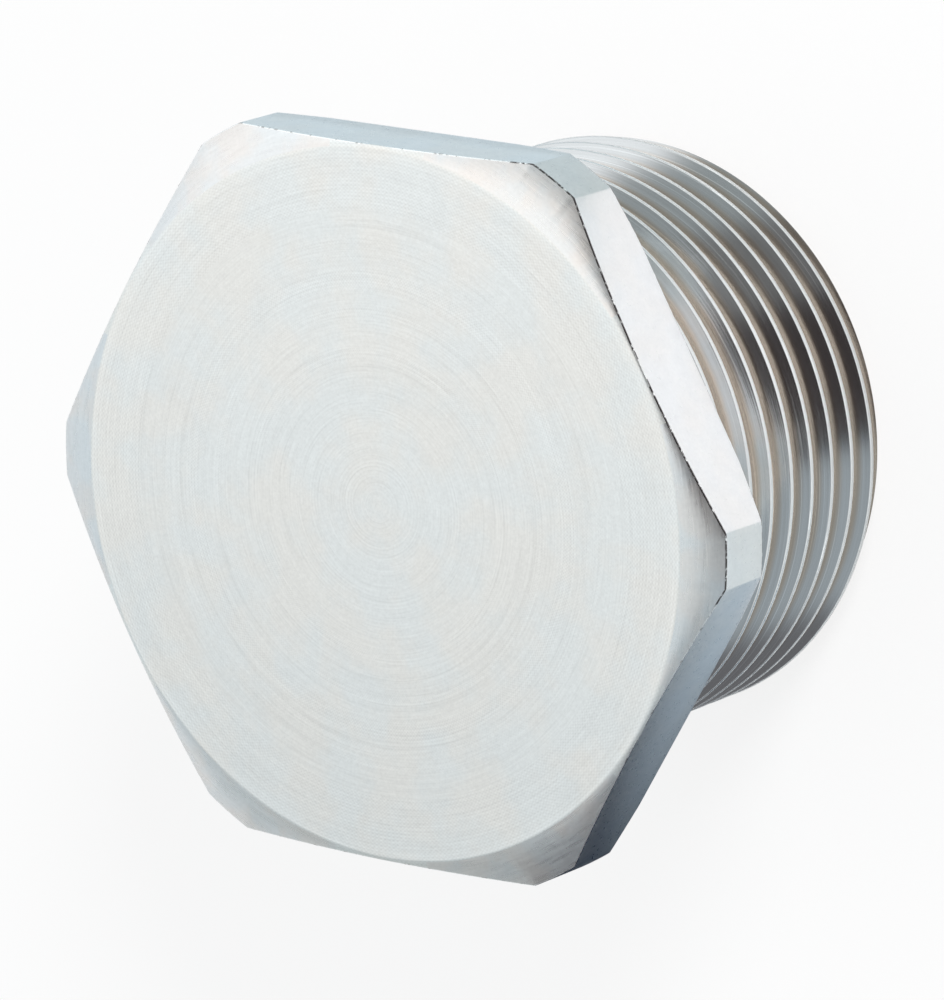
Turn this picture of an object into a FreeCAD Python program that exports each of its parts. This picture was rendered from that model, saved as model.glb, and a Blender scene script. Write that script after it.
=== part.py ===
"""A hexagon-head blind plug, turned in one piece from nickel-plated brass bar.

The plug closes an unused cable entry. Its head seats on the wall of the enclosure
and its parallel metric thread, 25 mm by 1.5 mm, screws into the entry.

Frame: +Z runs along the plug's axis, out of the front face of the head.
The origin is the centre of the sealing face under the head, so the head stands
above Z = 0 and the threaded shank hangs below it. The plug stands on its free end.
Two corners of the hexagon lie on the X axis.
All lengths are millimetres and all angles are degrees.
"""

import FreeCAD
import Part

import math
import os

# Head, from hexagon bar
across_flats = 30.0
head_height = 3.5
corner_diameter = 33.4  # the bar's corners are turned down to this
face_diameter = 29.66  # the flat circle that the front chamfer leaves
seat_diameter = 31.5  # the flat circle that the back chamfer leaves
head_chamfer_angle = 18.2  # both chamfers, from the plane of the face

# Shank and its thread
thread_diameter = 24.75  # over the crests, a little under the nominal 25
thread_pitch = 1.5
thread_angle = 60.0
shank_length = 16.0
lead_chamfer = 1.0  # on the free end
lead_chamfer_angle = 45.0  # from the axis
thread_start_angle = 31.2  # where the groove meets the plane of the free end, from +X

# Relief groove where the thread runs out under the head
relief_clearance = 0.13  # how far its floor lies below the thread's roots
relief_width = 2.9  # from the sealing face to where the full shank begins
relief_slope_angle = 60.0  # of the side towards the thread, from the axis
relief_fillet = 0.8

# The metric profile has crests an eighth of a pitch wide, and roots a sixth of a pitch
# wide, which a real thread rounds a little.
crest_width = thread_pitch / 8
root_width = thread_pitch / 6
flank_slope = math.tan(math.radians(thread_angle / 2))
thread_depth = (thread_pitch - crest_width - root_width) / 2 / flank_slope

thread_radius = thread_diameter / 2
root_radius = thread_radius - thread_depth
relief_radius = root_radius - relief_clearance

# The groove's cutter stands out of the metal by this much, and its path is made of
# short stretches, because one long helix makes a surface that cuts unreliably.
cutter_overlap = 0.1
stretches_per_turn = 2

ORIGIN = FreeCAD.Vector(0, 0, 0)
AXIS = FreeCAD.Vector(0, 0, 1)


def at(radius, height):
    """A point of a turned outline, in the plane of the axis and +X."""
    return FreeCAD.Vector(radius, 0, height)


def lines_through(points):
    """Straight edges from each point to the next."""
    return [Part.makeLine(a, b) for a, b in zip(points, points[1:])]


def turned(edges):
    """The solid that a closed outline leaves when it turns once about the axis."""
    return Part.Face(Part.Wire(edges)).revolve(ORIGIN, AXIS, 360)


def hexagon_bar(height):
    """Hexagon bar that stands on the sealing plane, with a corner on +X."""
    corner_radius = across_flats / 2 / math.cos(math.radians(30))
    corners = []
    for index in range(7):
        angle = math.radians(60 * index)
        corners.append(
            FreeCAD.Vector(corner_radius * math.cos(angle), corner_radius * math.sin(angle), 0)
        )
    return Part.Face(Part.makePolygon(corners)).extrude(AXIS * height)


def head():
    """The hexagon with its corners turned down and both of its faces chamfered."""
    corner = corner_diameter / 2
    face = face_diameter / 2
    seat = seat_diameter / 2
    slope = math.tan(math.radians(head_chamfer_angle))
    outline = [
        at(0, 0),
        at(seat, 0),
        at(corner, (corner - seat) * slope),
        at(corner, head_height - (corner - face) * slope),
        at(face, head_height),
        at(0, head_height),
        at(0, 0),
    ]
    return hexagon_bar(head_height).common(turned(lines_through(outline)))


def shank_blank():
    """The shank before threading, with its relief groove and its lead chamfer."""
    end_radius = thread_radius - lead_chamfer * math.tan(math.radians(lead_chamfer_angle))
    slope_length = (thread_radius - relief_radius) / math.tan(math.radians(relief_slope_angle))
    fillet_top = at(relief_radius + relief_fillet, 0)
    fillet_bottom = at(relief_radius, -relief_fillet)
    fillet_inset = relief_fillet * (1 - math.sqrt(0.5))
    fillet_middle = at(relief_radius + fillet_inset, -fillet_inset)
    # the round corner is two straight cuts, and the top of the blank lies inside the head
    outline = [
        fillet_top,
        fillet_middle,
        fillet_bottom,
        at(relief_radius, slope_length - relief_width),
        at(thread_radius, -relief_width),
        at(thread_radius, lead_chamfer - shank_length),
        at(end_radius, -shank_length),
        at(0, -shank_length),
        at(0, head_height / 2),
        at(relief_radius + relief_fillet, head_height / 2),
        fillet_top,
    ]
    return turned(lines_through(outline))


def groove_profile(height):
    """The section of the thread groove, with its middle at the given height."""
    root_half = root_width / 2
    mouth_half = (thread_pitch - crest_width) / 2 + cutter_overlap * flank_slope
    mouth_radius = thread_radius + cutter_overlap
    corners = [
        at(root_radius, height - root_half),
        at(mouth_radius, height - mouth_half),
        at(mouth_radius, height + mouth_half),
        at(root_radius, height + root_half),
    ]
    return Part.makePolygon(corners + corners[:1])


def helical_path(bottom, top):
    """A right-hand helix that starts over +X, in short stretches up to the given height."""
    rise = thread_pitch / stretches_per_turn
    stretch = Part.makeHelix(thread_pitch, rise, thread_radius).Edges[0]
    edges = []
    for index in range(math.ceil((top - bottom) / rise)):
        edge = stretch.copy()
        edge.rotate(ORIGIN, AXIS, index * 360 / stretches_per_turn)
        edge.translate(at(0, bottom + index * rise))
        edges.append(edge)
    return Part.Wire(edges)


def groove_cutter():
    """The helical groove, from clear of the free end to the middle of the relief."""
    bottom = -shank_length - thread_pitch
    path = helical_path(bottom, -relief_width / 2)
    return path.makePipeShell([groove_profile(bottom)], True, True)


def threaded_shank():
    """The shank with its right-hand thread, turned to where the thread starts."""
    shank = shank_blank().cut(groove_cutter())
    shank.rotate(ORIGIN, AXIS, thread_start_angle)
    return shank


def blind_plug():
    """The finished plug: head and shank are one piece of metal."""
    plug = head().fuse(threaded_shank()).removeSplitter()
    return plug.Solids[0] if len(plug.Solids) == 1 else plug


os.makedirs("parts", exist_ok=True)
finished = blind_plug()
finished.exportStep("parts/blind_plug.step")
print("blind_plug:", len(finished.Solids), "solid,", round(finished.Volume, 1), "mm3")
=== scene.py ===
"""A hexagon-head blind plug in nickel-plated brass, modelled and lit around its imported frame.

The plug is turned and milled here the way the real one is: a blank is turned from bar,
its hexagon is cut, its edges are broken and its thread is cut with a single groove.
All lengths are metres unless a name ends in _mm.
"""

import math

import bpy
from mathutils import Matrix, Vector


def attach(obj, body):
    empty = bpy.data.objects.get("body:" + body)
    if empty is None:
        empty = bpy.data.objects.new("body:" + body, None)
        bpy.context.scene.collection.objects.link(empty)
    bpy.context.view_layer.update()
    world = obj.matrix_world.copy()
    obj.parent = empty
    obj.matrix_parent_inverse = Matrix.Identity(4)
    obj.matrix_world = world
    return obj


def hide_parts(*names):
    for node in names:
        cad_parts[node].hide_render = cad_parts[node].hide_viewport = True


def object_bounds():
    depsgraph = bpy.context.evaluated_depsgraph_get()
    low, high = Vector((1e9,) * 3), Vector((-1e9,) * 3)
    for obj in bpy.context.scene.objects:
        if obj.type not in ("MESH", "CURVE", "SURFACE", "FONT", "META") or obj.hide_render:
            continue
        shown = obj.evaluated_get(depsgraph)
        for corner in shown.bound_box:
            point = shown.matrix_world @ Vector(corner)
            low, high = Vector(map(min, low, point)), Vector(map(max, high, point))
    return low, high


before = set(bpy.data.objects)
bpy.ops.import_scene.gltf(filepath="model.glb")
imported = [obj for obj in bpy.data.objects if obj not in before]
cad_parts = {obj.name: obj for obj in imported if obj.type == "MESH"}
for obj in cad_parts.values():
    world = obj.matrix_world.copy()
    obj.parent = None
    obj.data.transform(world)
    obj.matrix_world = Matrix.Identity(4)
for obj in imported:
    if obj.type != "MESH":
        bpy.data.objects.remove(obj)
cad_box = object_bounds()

bl_info = {
    "name": "Blind Plug",
    "version": (1, 0, 0),
    "blender": (4, 5, 0),
    "location": "View3D > Sidebar > Blind Plug",
    "description": "Models a hexagon-head blind plug with a metric thread and lights it",
    "category": "Object",
}

MM = 0.001
CAD_LOW, CAD_HIGH = cad_box
ACROSS_FLATS = CAD_HIGH.y - CAD_LOW.y
CORNER_DIAMETER = CAD_HIGH.x - CAD_LOW.x
HEAD_HEIGHT = CAD_HIGH.z
SHANK_LENGTH = -CAD_LOW.z

TURNED_SEGMENTS = 240
THREAD_STEPS = 120  # per turn, half as many as the blank has, so that edges don't coincide
FILLET_STEPS = 6
CREST_SHARE = 1 / 8  # of the pitch, as the metric profile has it
HALF_THREAD_ANGLE = math.radians(30)
MILLED_GAP = 0.1 * MM  # corners closer than this after milling become one
THREAD_GAP = 0.0005 * MM
BEVEL_ANGLE = math.radians(12)  # edges sharper than this are broken
SMOOTH_ANGLE = math.radians(24)


def length(name, description, default, **limits):
    """A length in metres that the panel shows."""
    return bpy.props.FloatProperty(
        name=name, description=description, default=default, subtype="DISTANCE",
        unit="LENGTH", precision=5, **limits,
    )


def angle(name, description, degrees):
    """An angle that the panel shows in degrees."""
    return bpy.props.FloatProperty(
        name=name, description=description, default=math.radians(degrees), subtype="ANGLE",
        unit="ROTATION",
    )


def colour(name, description, default):
    """A linear colour."""
    return bpy.props.FloatVectorProperty(
        name=name, description=description, default=default, subtype="COLOR", size=3,
        min=0, max=1,
    )


class PlugSizes(bpy.types.PropertyGroup):
    """The plug's own measures."""

    across_flats: length("Across flats", "Width of the hexagon", ACROSS_FLATS)
    head_height: length("Head height", "From the sealing face to the front face", HEAD_HEIGHT)
    corner_diameter: length("Corners", "What the bar's corners are turned to", CORNER_DIAMETER)
    face_diameter: length("Face circle", "The flat circle in front", 29.66 * MM)
    seat_diameter: length("Seat circle", "The flat circle at the back", 31.5 * MM)
    chamfer_angle: angle("Chamfer angle", "Both head chamfers, from the face", 18.2)
    shank_length: length("Shank length", "From the sealing face to the free end", SHANK_LENGTH)
    thread_diameter: length("Thread diameter", "Over the crests", 24.75 * MM)
    thread_pitch: length("Thread pitch", "From crest to crest", 1.5 * MM)
    thread_start: angle("Thread start", "Where the groove leaves the free end", 31.2)
    crest_rounding: length("Crest rounding", "Radius at the edges of the crests", 0.09 * MM)
    lead_chamfer: length("Lead chamfer", "On the free end, at 45 degrees", 1.0 * MM)
    relief_width: length("Relief width", "Of the groove under the head", 2.9 * MM)
    relief_clearance: length("Relief depth", "Below the roots of the thread", 0.13 * MM)
    relief_fillet: length("Relief fillet", "Where the groove meets the head", 0.8 * MM)
    relief_slope: angle("Relief slope", "Of its side towards the thread", 60)
    edge_break: length("Edge break", "Width of the broken edges", 0.05 * MM)


class PlugFinish(bpy.types.PropertyGroup):
    """The colours that aren't the metal's own."""

    floor: colour("Floor", "The pale floor", (0.86, 0.86, 0.86))


def sizes():
    """The plug's measures, as the panel has them."""
    return bpy.context.scene.plug_sizes


def finish():
    """The colours, as the panel has them."""
    return bpy.context.scene.plug_finish


def deselect_all():
    """Nothing stays selected, so that an operator acts on the new piece alone."""
    if bpy.context.object and bpy.context.object.mode != "OBJECT":
        bpy.ops.object.mode_set(mode="OBJECT")
    bpy.ops.object.select_all(action="DESELECT")


def only(piece):
    """Makes one object the selected and active one."""
    deselect_all()
    piece.select_set(True)
    bpy.context.view_layer.objects.active = piece


def edit(piece, mode="VERT"):
    """Edit mode with everything selected."""
    only(piece)
    bpy.ops.object.mode_set(mode="EDIT")
    bpy.ops.mesh.select_mode(type=mode)
    bpy.ops.mesh.select_all(action="SELECT")


def settle(piece):
    """Puts the object's place into its mesh."""
    only(piece)
    bpy.ops.object.transform_apply(location=True, rotation=True, scale=True)


def modify(piece, kind, **settings):
    """Adds a modifier and applies it."""
    only(piece)
    modifier = piece.modifiers.new(kind.title(), kind)
    for key, value in settings.items():
        setattr(modifier, key, value)
    bpy.ops.object.modifier_apply(modifier=modifier.name)


def combine(piece, other, operation):
    """Boolean of one closed mesh with another, which is then gone."""
    modify(piece, "BOOLEAN", operation=operation, object=other, solver="EXACT")
    bpy.data.objects.remove(other)


def merge_close(piece, distance):
    """Joins corners that a cut has left very close to each other."""
    edit(piece)
    bpy.ops.mesh.remove_doubles(threshold=distance)
    bpy.ops.object.mode_set(mode="OBJECT")


def extrude(offset):
    """Draws the selection out and leaves its new end selected."""
    bpy.ops.mesh.extrude_region_move(TRANSFORM_OT_translate={"value": offset})


def turned_outline():
    """Radius and height of each ring of the blank, from the free end to the front face."""
    s = sizes()
    thread = s.thread_diameter / 2
    relief = thread - thread_depth() - s.relief_clearance
    slope = (thread - relief) / math.tan(s.relief_slope)
    corner, seat, face = s.corner_diameter / 2, s.seat_diameter / 2, s.face_diameter / 2
    rise = math.tan(s.chamfer_angle)
    rings = [
        (thread - s.lead_chamfer, -s.shank_length),
        (thread, s.lead_chamfer - s.shank_length),
        (thread, -s.relief_width),
        (relief, slope - s.relief_width),
    ]
    for step in range(FILLET_STEPS + 1):
        turn = math.pi / 2 * step / FILLET_STEPS
        rings.append((
            relief + s.relief_fillet * (1 - math.cos(turn)),
            -s.relief_fillet * (1 - math.sin(turn)),
        ))
    rings += [
        (seat, 0),
        (corner, (corner - seat) * rise),
        (corner, s.head_height - (corner - face) * rise),
        (face, s.head_height),
    ]
    return rings


def thread_depth():
    """How deep a groove with a round root goes."""
    s = sizes()
    sharp = s.thread_pitch * (1 - CREST_SHARE) / 2 / math.tan(HALF_THREAD_ANGLE)
    return sharp - root_rounding()


def root_rounding():
    """The radius that meets both flanks at the depth of a root a sixth of a pitch wide."""
    return sizes().thread_pitch * math.sqrt(3) / 12


def turned_blank():
    """Bar turned to the plug's outline, ring by ring."""
    rings = turned_outline()
    radius, height = rings[0]
    deselect_all()
    bpy.ops.mesh.primitive_circle_add(
        vertices=TURNED_SEGMENTS, radius=radius, fill_type="NGON", location=(0, 0, height)
    )
    blank = bpy.context.object
    settle(blank)
    edit(blank)
    for next_radius, next_height in rings[1:]:
        extrude((0, 0, next_height - height))
        factor = next_radius / radius
        bpy.ops.transform.resize(value=(factor, factor, 1), center_override=(0, 0, 0))
        radius, height = next_radius, next_height
    bpy.ops.mesh.select_all(action="SELECT")
    bpy.ops.mesh.normals_make_consistent(inside=False)
    bpy.ops.object.mode_set(mode="OBJECT")
    return blank


def hexagon_bar():
    """A hexagon that is longer than the plug, with a corner on +X."""
    s = sizes()
    deselect_all()
    bpy.ops.mesh.primitive_cylinder_add(
        vertices=6, radius=s.across_flats / 2 / math.cos(math.radians(30)),
        depth=2 * (s.shank_length + s.head_height), rotation=(0, 0, math.radians(30)),
    )
    bar = bpy.context.object
    settle(bar)
    return bar


def groove_section():
    """Corners of the groove's section, from one side of its mouth over the root to the other.

    Each is a radius and a height from the groove's middle. The section follows the round
    root, the straight flank and the rounded edge of the crest, and then leaves the metal.
    """
    s = sizes()
    crest = s.thread_diameter / 2
    mouth = s.thread_pitch * (1 - CREST_SHARE) / 2
    root = root_rounding()
    root_centre = crest - thread_depth() + root
    side = []
    for step in range(1, 4):
        turn = math.radians(20 * step)
        side.append((root_centre - root * math.cos(turn), root * math.sin(turn)))
    tangent = s.crest_rounding * math.tan(HALF_THREAD_ANGLE)
    radius = crest - tangent * math.cos(HALF_THREAD_ANGLE)
    height = mouth - tangent * math.sin(HALF_THREAD_ANGLE)
    side.append((radius, height))
    chord = 2 * s.crest_rounding * math.sin(math.radians(10))
    for lean in (50, 30):
        radius += chord * math.sin(math.radians(lean))
        height += chord * math.cos(math.radians(lean))
        side.append((radius, height))
    over = 0.012 * MM
    outside = height + over / math.tan(math.radians(14))
    side.append((radius + over, outside))
    side.append((crest + 0.1 * MM, outside))
    low = [(radius, -height) for radius, height in reversed(side)]
    return low + [(root_centre - root, 0)] + side


def thread_cutter():
    """The single right-hand groove as a closed piece, from below the free end to the relief."""
    s = sizes()
    section = groove_section()
    bottom = -s.shank_length - s.thread_pitch
    top = -s.relief_width / 2
    deselect_all()
    bpy.ops.mesh.primitive_plane_add(size=s.thread_pitch)
    cutter = bpy.context.object
    edit(cutter)
    bpy.ops.mesh.merge(type="CENTER")
    radius, height = section[0]
    bpy.ops.transform.translate(value=(radius, 0, bottom + height))
    for next_radius, next_height in section[1:]:
        extrude((next_radius - radius, 0, next_height - height))
        radius, height = next_radius, next_height
    bpy.ops.mesh.select_all(action="SELECT")
    bpy.ops.mesh.edge_face_add()
    bpy.ops.mesh.delete(type="ONLY_FACE")
    bpy.ops.object.mode_set(mode="OBJECT")
    turns = (top - bottom) / s.thread_pitch
    steps = round(THREAD_STEPS * turns)
    modify(
        cutter, "SCREW", axis="Z", angle=2 * math.pi * steps / THREAD_STEPS,
        screw_offset=s.thread_pitch * steps / THREAD_STEPS, steps=steps, render_steps=steps,
        use_merge_vertices=False, use_smooth_shade=False,
    )
    edit(cutter)
    bpy.ops.mesh.fill_holes(sides=0)
    bpy.ops.mesh.select_all(action="SELECT")
    bpy.ops.mesh.normals_make_consistent(inside=False)
    bpy.ops.object.mode_set(mode="OBJECT")
    cutter.rotation_euler.z = s.thread_start
    settle(cutter)
    return cutter


class Wiring:
    """Short ways to add and join the nodes of one tree."""

    def __init__(self, tree):
        self.nodes, self.links = tree.nodes, tree.links

    def node(self, kind, *wires, **settings):
        """A node with its first sockets joined or set, and its settings."""
        made = self.nodes.new("ShaderNode" + kind)
        for key, value in settings.items():
            setattr(made, key, value)
        for index, wire in enumerate(wires):
            self.feed(made, index, wire)
        return made

    def feed(self, made, socket, wire):
        """Joins a socket to another, or sets its value."""
        if isinstance(wire, bpy.types.NodeSocket):
            self.links.new(wire, made.inputs[socket])
        elif wire is not None:
            made.inputs[socket].default_value = wire

    def math(self, operation, *wires):
        """A sum or other function of plain values."""
        return self.node("Math", *wires, operation=operation).outputs[0]

    def span(self, wire, low, high, new_low=0.0, new_high=1.0, kind="SMOOTHSTEP"):
        """A value moved from one span to another, and kept inside it."""
        made = self.node("MapRange", interpolation_type=kind)
        for name, value in (("Value", wire), ("From Min", low), ("From Max", high),
                            ("To Min", new_low), ("To Max", new_high)):
            self.feed(made, name, value)
        return made.outputs["Result"]

    def blend(self, share, first, second, kind="MIX"):
        """A colour between two others."""
        made = self.node("Mix", data_type="RGBA", blend_type=kind, clamp_factor=True)
        for name, wire in (("Factor", share), ("A", first), ("B", second)):
            if isinstance(wire, tuple):
                wire = (*wire[:3], 1)
            socket = [s for s in made.inputs if s.name == name and s.enabled][0]
            if isinstance(wire, bpy.types.NodeSocket):
                self.links.new(wire, socket)
            else:
                socket.default_value = wire
        return [s for s in made.outputs if s.enabled][0]


class Metal(Wiring):
    """A nickel finish under way: its nodes, its coordinates in millimetres and its shader."""

    def __init__(self, name, roughness):
        self.material = bpy.data.materials.new(name)
        self.material.use_nodes = True
        super().__init__(self.material.node_tree)
        self.shader = self.nodes["Principled BSDF"]
        self.shader.inputs["Metallic"].default_value = 1
        self.shader.inputs["Roughness"].default_value = roughness
        self.place = self.node("Mapping", self.node("TexCoord").outputs["Object"])
        self.place.inputs["Scale"].default_value = (1000, 1000, 1000)
        self.place = self.place.outputs[0]
        split = self.node("SeparateXYZ", self.place)
        self.x, self.y, self.z = split.outputs
        flat = self.node("CombineXYZ", self.x, self.y, 0.0).outputs[0]
        self.radius = self.node("VectorMath", flat, operation="LENGTH").outputs["Value"]
        self.angle = self.math("ARCTAN2", self.y, self.x)

    def noise(self, scale, detail=2.0, place=None, roughness=0.5):
        """Plain noise, with scale features in a millimetre."""
        made = self.node("TexNoise", place or self.place)
        for name, value in (("Scale", scale), ("Detail", detail), ("Roughness", roughness)):
            made.inputs[name].default_value = value
        return made.outputs[0]

    def streaks(self, across, along, detail=3.0, profile=None):
        """Noise drawn out along the turning: features in a millimetre each way."""
        x, y = self.math("MULTIPLY", self.x, along), self.math("MULTIPLY", self.y, along)
        run = self.math("MULTIPLY", profile or self.radius, across)
        return self.noise(1.0, detail, self.node("CombineXYZ", x, y, run).outputs[0])

    def waves(self, wire, count):
        """A sine from -1 to 1."""
        return self.math("SINE", self.math("MULTIPLY", wire, count))

    def colour(self, wire):
        """Gives the metal its colour."""
        self.links.new(wire, self.shader.inputs["Base Color"])

    def rough(self, wire):
        """Gives the metal a roughness that varies."""
        self.links.new(wire, self.shader.inputs["Roughness"])

    def bump(self, height, depth_mm):
        """Relief of that depth where the height goes from 0 to 1."""
        made = self.node("Bump")
        made.inputs["Strength"].default_value = 1.0
        made.inputs["Distance"].default_value = depth_mm * MM
        self.links.new(height, made.inputs["Height"])
        self.links.new(made.outputs[0], self.shader.inputs["Normal"])

    def tone(self, base, *layers):
        """A colour made lighter or darker by layers of (wire, middle, strength)."""
        value = None
        for wire, middle, strength in layers:
            part = self.math("MULTIPLY", self.math("SUBTRACT", wire, middle), strength)
            value = part if value is None else self.math("ADD", value, part)
        value = self.math("ADD", value, 1.0)
        return self.blend(1.0, base, self.node("CombineColor", value, value, value).outputs[0],
                          "MULTIPLY")


def face_finish():
    """The faced front: fine rings over faint warm patches, crossed by chatter near the rim,
    with a painted highlight just inside its edge.
    """
    metal = Metal("nickel_faced", 0.36)
    patches = metal.span(metal.noise(0.3, 4.0), 0.38, 0.62)
    base = metal.blend(patches, (0.808, 0.838, 0.834), (0.836, 0.834, 0.806))
    rings = metal.waves(metal.radius, 2 * math.pi / 0.155)
    ticks = metal.waves(metal.angle, 420)
    stitch = metal.math("MULTIPLY", rings, ticks)
    zone = metal.noise(1.0, 1.0, metal.node("CombineXYZ", metal.math(
        "MULTIPLY", metal.radius, 0.9), 0.0, 0.0).outputs[0])
    zone = metal.span(zone, 0.42, 0.62)
    outer = metal.span(metal.radius, 12.2, 12.9)
    strength = metal.math("MAXIMUM", zone, outer)
    cut = metal.streaks(13.0, 0.5)
    band = metal.streaks(1.3, 0.05)
    stitched = metal.math("MULTIPLY", stitch, strength)
    ringed = metal.math("MULTIPLY", rings, strength)
    scores = metal.span(metal.streaks(5.0, 0.07, 4.0), 0.60, 0.66)
    smears = metal.span(metal.noise(0.5, 5.0, roughness=0.65), 0.55, 0.68)
    grain = metal.noise(9.0, 2.0)
    # A painted highlight: the outer edge of the face is painted a little lighter.
    rim = metal.span(metal.radius, 14.3, 14.6)
    colour = metal.tone(
        base, (stitched, 0.0, 0.050), (ringed, 0.0, 0.020), (cut, 0.5, 0.22),
        (band, 0.5, 0.05), (grain, 0.5, 0.20), (rim, 0.0, 0.03), (scores, 0.0, -0.04),
        (smears, 0.0, -0.02),
    )
    metal.colour(colour)
    metal.rough(metal.span(cut, 0.2, 0.8, 0.32, 0.42, "LINEAR"))
    metal.bump(metal.math("ADD", cut, metal.math("MULTIPLY", ringed, 0.3)), 0.0005)
    return metal.material


def chamfer_finish():
    """The turned chamfers and the seat: coarser marks that run round, and a warm tinge."""
    metal = Metal("nickel_turned", 0.28)
    patches = metal.span(metal.noise(0.5, 3.0), 0.4, 0.62)
    base = metal.blend(patches, (0.79, 0.815, 0.825), (0.825, 0.805, 0.785))
    cut = metal.streaks(8.0, 0.7)
    grain = metal.noise(7.0, 3.0)
    metal.colour(metal.tone(base, (cut, 0.5, 0.2), (grain, 0.5, 0.14)))
    metal.rough(metal.span(cut, 0.2, 0.8, 0.24, 0.34, "LINEAR"))
    metal.bump(cut, 0.003)
    return metal.material


def bar_finish():
    """The drawn flats and the turned corners: mottled, with a fine grain."""
    metal = Metal("nickel_drawn", 0.30)
    patches = metal.span(metal.noise(0.4, 3.0), 0.4, 0.65)
    base = metal.blend(patches, (0.80, 0.815, 0.82), (0.80, 0.80, 0.79))
    grain = metal.noise(6.0, 2.0, roughness=0.6)
    metal.colour(metal.tone(base, (grain, 0.5, 0.14), (metal.noise(1.6, 2.0), 0.5, 0.12)))
    metal.rough(metal.span(grain, 0.3, 0.7, 0.27, 0.36, "LINEAR"))
    metal.bump(grain, 0.0008)
    return metal.material


def edge_finish():
    """The broken edges, where the finish is rubbed bright and is missing in places. Towards the
    -Y side the gaps grow and turn near black.
    """
    metal = Metal("nickel_edge", 0.25)
    # Towards the -Y side the gaps grow, and they turn from grey to near black.
    minus_y_share = metal.span(metal.y, -12.0, -14.0, 0.0, 0.16)
    gaps = metal.math("ADD", metal.noise(3.4, 4.0, roughness=0.7), minus_y_share)
    gaps = metal.span(gaps, 0.54, 0.64)
    dark = metal.blend(metal.span(minus_y_share, 0.02, 0.12), (0.50, 0.50, 0.49), (0.11, 0.10, 0.10))
    metal.colour(metal.blend(gaps, (0.92, 0.93, 0.92), dark))
    return metal.material


def thread_finish():
    """The thread: a painted highlight on the crests, streaks along the cut, and painted shade
    with a warm painted reflection in the roots.
    """
    metal = Metal("nickel_thread", 0.16)
    crest = sizes().thread_diameter / 2 / MM
    # A painted highlight: the crests are painted lighter than the flanks.
    top = metal.span(metal.radius, crest - 0.045, crest - 0.015)
    run = metal.math("MULTIPLY_ADD", metal.radius, 1.7, metal.z)
    cut = metal.streaks(15.0, 0.14, 3.0, run)
    # Painted shade with a warm painted reflection: towards the roots the colour turns darker
    # and warmer.
    deep = metal.span(metal.radius, crest - 0.26, crest - 0.52)
    hairs = metal.span(metal.streaks(26.0, 0.06, 2.0, run), 0.62, 0.70)
    base = metal.blend(deep, (0.62, 0.63, 0.635), (0.56, 0.475, 0.395))
    base = metal.blend(top, base, (0.74, 0.76, 0.76))
    metal.colour(metal.tone(base, (cut, 0.5, 0.3), (hairs, 0.0, 0.35)))
    metal.rough(metal.span(top, 0.0, 1.0, 0.16, 0.3, "LINEAR"))
    metal.bump(cut, 0.002)
    return metal.material


FINISHES = (face_finish, chamfer_finish, bar_finish, edge_finish, thread_finish)
FACE, CHAMFER, BAR, EDGE, THREAD = range(len(FINISHES))


def region(face):
    """Which finish a face takes, by its place and its normal."""
    s = sizes()
    height, up = face.center.z / MM, face.normal.z
    radius = math.hypot(face.center.x, face.center.y) / MM
    if height < -0.002:
        return THREAD
    if height > s.head_height / MM - 0.1 and radius < s.across_flats / 2 / MM:
        return FACE
    if abs(abs(up) - math.cos(s.chamfer_angle)) < 0.004 or up < -0.9999:
        return CHAMFER
    heading = math.atan2(face.normal.y, face.normal.x) - math.pi / 6
    off_flat = abs(math.remainder(heading, math.pi / 3))
    if abs(up) < 0.001 and (off_flat < 0.002 or radius > s.corner_diameter / 2 / MM - 0.2):
        return BAR
    return EDGE


class PlugOperator(bpy.types.Operator):
    """Turns, mills and threads the plug."""

    bl_idname = "blind_plug.plug"
    bl_label = "Plug"

    def execute(self, context):
        plug = turned_blank()
        plug.name = "plug_metal"
        plug.data.name = "plug_metal"
        combine(plug, hexagon_bar(), "INTERSECT")
        merge_close(plug, MILLED_GAP)
        modify(
            plug, "BEVEL", width=sizes().edge_break, segments=2, limit_method="ANGLE",
            angle_limit=BEVEL_ANGLE, miter_outer="MITER_ARC", use_clamp_overlap=True,
        )
        combine(plug, thread_cutter(), "DIFFERENCE")
        merge_close(plug, THREAD_GAP)
        only(plug)
        bpy.ops.object.shade_smooth_by_angle(angle=SMOOTH_ANGLE)
        threaded = plug.vertex_groups.new(name="threaded")
        low = -sizes().relief_width / 2
        threaded.add([v.index for v in plug.data.vertices if v.co.z < low], 1.0, "REPLACE")
        modify(
            plug, "WEIGHTED_NORMAL", mode="FACE_AREA", weight=100, keep_sharp=True,
            vertex_group="threaded",
        )
        for finish_of in FINISHES:
            plug.data.materials.append(finish_of())
        plug.data.polygons.foreach_set(
            "material_index", [region(face) for face in plug.data.polygons]
        )
        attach(plug, "root")
        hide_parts("blind_plug")
        return {"FINISHED"}


# The camera of the photo, in the part's frame, as a fit to the plug's edges gives it.
CAMERA_LENS, CAMERA_SENSOR = 298.95, 36
CAMERA_PLACE = Vector((-26.11, -209.72, 267.34)) * MM
CAMERA_RIGHT = Vector((-0.40906, -0.70151, -0.58357))
CAMERA_UP = Vector((0.90955, -0.36485, -0.19898))
CAMERA_BACK = Vector((-0.07334, -0.61218, 0.78731))

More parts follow.
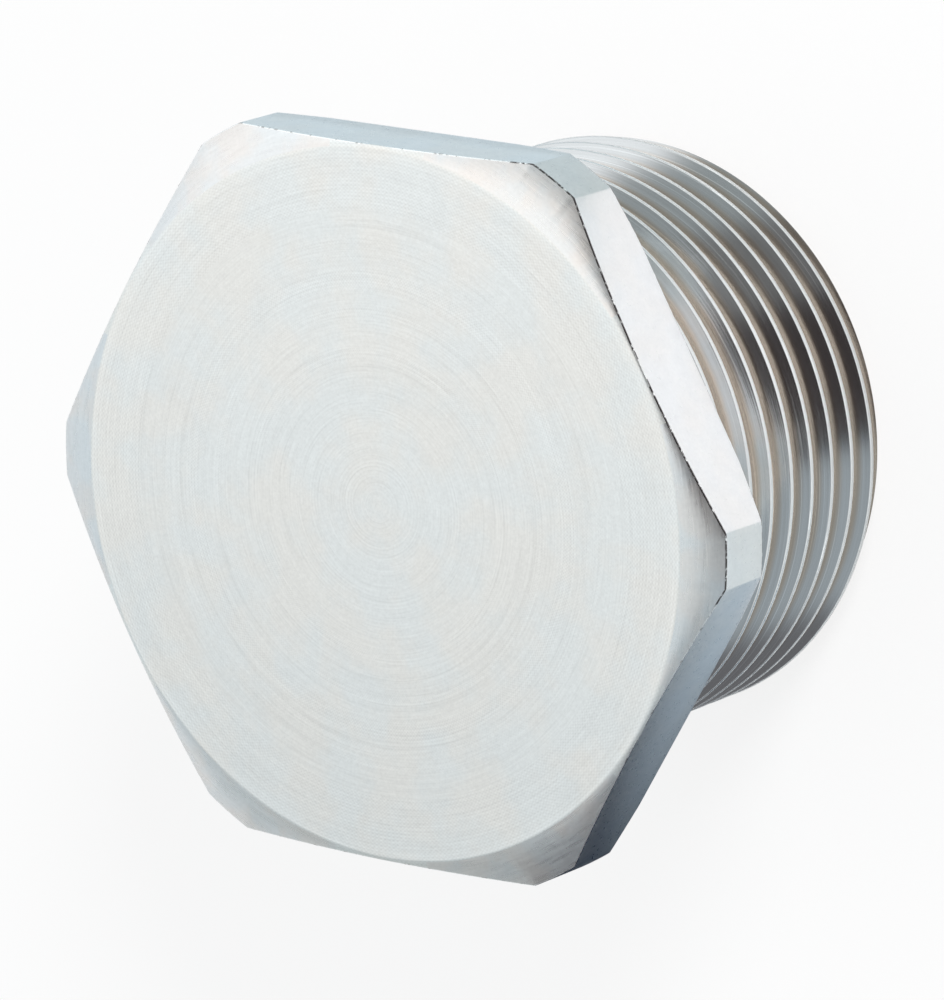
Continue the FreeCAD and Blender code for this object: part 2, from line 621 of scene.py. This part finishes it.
# Each soft patch of the studio's sky: its direction, the angles from it at which the
# patch is full and gone, and its linear colour.
SKY = (0.98, 0.99, 1.0)
SKY_PATCHES = (
    ((0.45, 0.70, 0.55), 10, 26, (1.14, 1.14, 1.14)),
    ((0.25, 0.92, 0.30), 8, 26, (0.72, 0.79, 0.83)),
    ((0.82, 0.20, 0.54), 8, 20, (1.22, 1.26, 1.28)),
    ((-0.35, 0.80, 0.45), 14, 34, (0.50, 0.54, 0.55)),
    ((-0.72, 0.35, 0.50), 14, 32, (0.18, 0.18, 0.19)),
    ((-0.54, -0.08, 0.84), 18, 27, (0.44, 0.49, 0.52)),
    ((0.52, -0.30, 0.80), 14, 25, (0.38, 0.42, 0.43)),
    ((0.20, -0.42, 0.88), 12, 20, (0.20, 0.20, 0.20)),
    ((-0.14, -0.40, 0.90), 14, 18, (0.05, 0.04, 0.04)),
    ((-0.17, 0.16, 0.97), 8, 18, (0.84, 0.90, 0.92)),
    ((0.32, 0.16, 0.93), 12, 22, (1.28, 1.25, 1.22)),
)


# The cards lie a little above the floor, where the hexagon's flats look at it. Each has
# its name, two opposite corners in millimetres, and its tint at the two ends of the run.
CARD_LIFT = 0.5 * MM
CARD_RUN = (-0.5, 0.866, 0)
CARD_RUN_START, CARD_RUN_END = 3.4 * MM, 18.5 * MM
CARDS = (
    ("slate_card", (-90, -12), (-16, 60),
     ((0.41, 0.50, 0.58), (0.01, 0.02, 0.04))),
    ("grey_card", (-60, -60), (-11, -12),
     ((0.77, 0.83, 0.85), (0.77, 0.83, 0.85))),
    ("white_card", (-11, -60), (11, -17),
     ((1.12, 1.12, 1.14), (1.12, 1.12, 1.14))),
    ("silver_card", (11, -60), (60, -14),
     ((0.62, 0.70, 0.72), (0.62, 0.70, 0.72))),
    ("blue_card", (15, -14), (60, 30),
     ((0.68, 0.79, 0.85), (0.68, 0.79, 0.85))),
)


KEY_PLACE = Vector((0.22, -0.46, 0.34))
KEY_SIZE = 0.18
KEY_POWER = 2.6

FLOOR_SIZE = 6
FLOOR_WHITE = 0.82  # share of plain white in what the camera sees of the floor
FLOOR_MIRRORED_WHITE = 0.1  # and in what the metal mirrors of it


def photo_camera():
    """The camera at the photographed angle."""
    data = bpy.data.cameras.new("Camera")
    data.sensor_width = CAMERA_SENSOR
    data.lens = CAMERA_LENS
    data.clip_start, data.clip_end = 0.01, 20
    camera = bpy.data.objects.new("Camera", data)
    bpy.context.scene.collection.objects.link(camera)
    turn = Matrix((CAMERA_RIGHT, CAMERA_UP, CAMERA_BACK)).transposed()
    camera.matrix_world = Matrix.Translation(CAMERA_PLACE) @ turn.to_4x4()
    bpy.context.scene.camera = camera


def studio_sky():
    """A pale dome with soft patches that are lighter or darker."""
    world = bpy.data.worlds.new("Studio")
    bpy.context.scene.world = world
    world.use_nodes = True
    wiring = Wiring(world.node_tree)
    direction = wiring.node("TexCoord").outputs["Generated"]
    shade = SKY
    for towards, full, gone, tint in SKY_PATCHES:
        toward = tuple(Vector(towards).normalized())
        dot = wiring.node("VectorMath", direction, toward, operation="DOT_PRODUCT")
        share = wiring.span(
            dot.outputs["Value"], math.cos(math.radians(gone)), math.cos(math.radians(full))
        )
        shade = wiring.blend(share, shade, tint)
    wiring.links.new(shade, world.node_tree.nodes["Background"].inputs["Color"])
    world.node_tree.nodes["Background"].inputs["Strength"].default_value = 1.0


def key_lamp():
    """A round soft light on the plug, which the metal doesn't mirror."""
    data = bpy.data.lights.new("Key", "AREA")
    data.shape = "DISK"
    data.size = KEY_SIZE
    data.energy = KEY_POWER
    lamp = bpy.data.objects.new("Key", data)
    lamp.location = KEY_PLACE
    lamp.visible_glossy = False
    lamp.rotation_euler = (-KEY_PLACE).to_track_quat("-Z", "Y").to_euler()
    bpy.context.scene.collection.objects.link(lamp)


def floor_material():
    """Pale and matt. The camera sees it near white, with the plug's shadow on it."""
    material = bpy.data.materials.new("Floor")
    material.use_nodes = True
    wiring = Wiring(material.node_tree)
    shader = wiring.nodes["Principled BSDF"]
    shader.inputs["Base Color"].default_value = (*finish().floor, 1)
    shader.inputs["Roughness"].default_value = 0.9
    shader.inputs["Specular IOR Level"].default_value = 0
    white = wiring.node("Emission", (1, 1, 1, 1), 1.0)
    path = wiring.node("LightPath")
    share = wiring.math("MULTIPLY", path.outputs["Is Camera Ray"], FLOOR_WHITE)
    other = wiring.math(
        "MAXIMUM", path.outputs["Is Glossy Ray"], path.outputs["Is Transmission Ray"]
    )
    share = wiring.math("MULTIPLY_ADD", other, FLOOR_MIRRORED_WHITE, share)
    mix = wiring.node("MixShader", share, shader.outputs[0], white.outputs[0])
    wiring.links.new(mix.outputs[0], wiring.nodes["Material Output"].inputs[0])
    return material


def card(name, low, high, tints):
    """A card on the floor that only the metal sees, shaded from one tint to the other."""
    deselect_all()
    bpy.ops.mesh.primitive_plane_add(size=MM)
    made = bpy.context.object
    made.name = name
    made.scale = (high[0] - low[0], high[1] - low[1], 1)
    made.location = (
        (low[0] + high[0]) / 2 * MM, (low[1] + high[1]) / 2 * MM, CAD_LOW.z + CARD_LIFT
    )
    settle(made)
    made.visible_camera = False
    made.visible_diffuse = False
    made.visible_shadow = False
    material = bpy.data.materials.new(name)
    material.use_nodes = True
    wiring = Wiring(material.node_tree)
    place = wiring.node("TexCoord").outputs["Object"]
    run = wiring.node("VectorMath", place, CARD_RUN, operation="DOT_PRODUCT").outputs["Value"]
    share = wiring.span(run, CARD_RUN_START, CARD_RUN_END, kind="LINEAR")
    shine = wiring.node("Emission", wiring.blend(share, *tints), 1.0)
    wiring.links.new(shine.outputs[0], wiring.nodes["Material Output"].inputs[0])
    made.data.materials.append(material)


class StageOperator(bpy.types.Operator):
    """Sets up the floor, the light and the camera at the photographed angle."""

    bl_idname = "blind_plug.stage"
    bl_label = "Stage"

    def execute(self, context):
        context.scene.view_settings.view_transform = "Standard"
        photo_camera()
        studio_sky()
        deselect_all()
        bpy.ops.mesh.primitive_plane_add(size=FLOOR_SIZE, location=(0, 0, CAD_LOW.z))
        floor = bpy.context.object
        floor.name = "floor"
        floor.data.materials.append(floor_material())
        for name, low, high, tints in CARDS:
            card(name, low, high, tints)
        key_lamp()
        return {"FINISHED"}


class PlugPanel(bpy.types.Panel):
    """Lists the plug's steps and measures."""

    bl_label = "Blind Plug"
    bl_idname = "BLIND_PLUG_PT_panel"
    bl_space_type = "VIEW_3D"
    bl_region_type = "UI"
    bl_category = "Blind Plug"

    def draw(self, context):
        column = self.layout.column()
        for name in PlugSizes.__annotations__:
            column.prop(context.scene.plug_sizes, name)
        for name in PlugFinish.__annotations__:
            column.prop(context.scene.plug_finish, name)
        for operator in OPERATORS:
            column.operator(operator.bl_idname)


OPERATORS = (PlugOperator, StageOperator)
CLASSES = (PlugSizes, PlugFinish, *OPERATORS, PlugPanel)


def register():
    for cls in CLASSES:
        bpy.utils.register_class(cls)
    bpy.types.Scene.plug_sizes = bpy.props.PointerProperty(type=PlugSizes)
    bpy.types.Scene.plug_finish = bpy.props.PointerProperty(type=PlugFinish)


def unregister():
    del bpy.types.Scene.plug_finish
    del bpy.types.Scene.plug_sizes
    for cls in reversed(CLASSES):
        bpy.utils.unregister_class(cls)


def main():
    register()
    bpy.ops.blind_plug.plug()
    bpy.ops.blind_plug.stage()


if __name__ == "__main__":
    main()
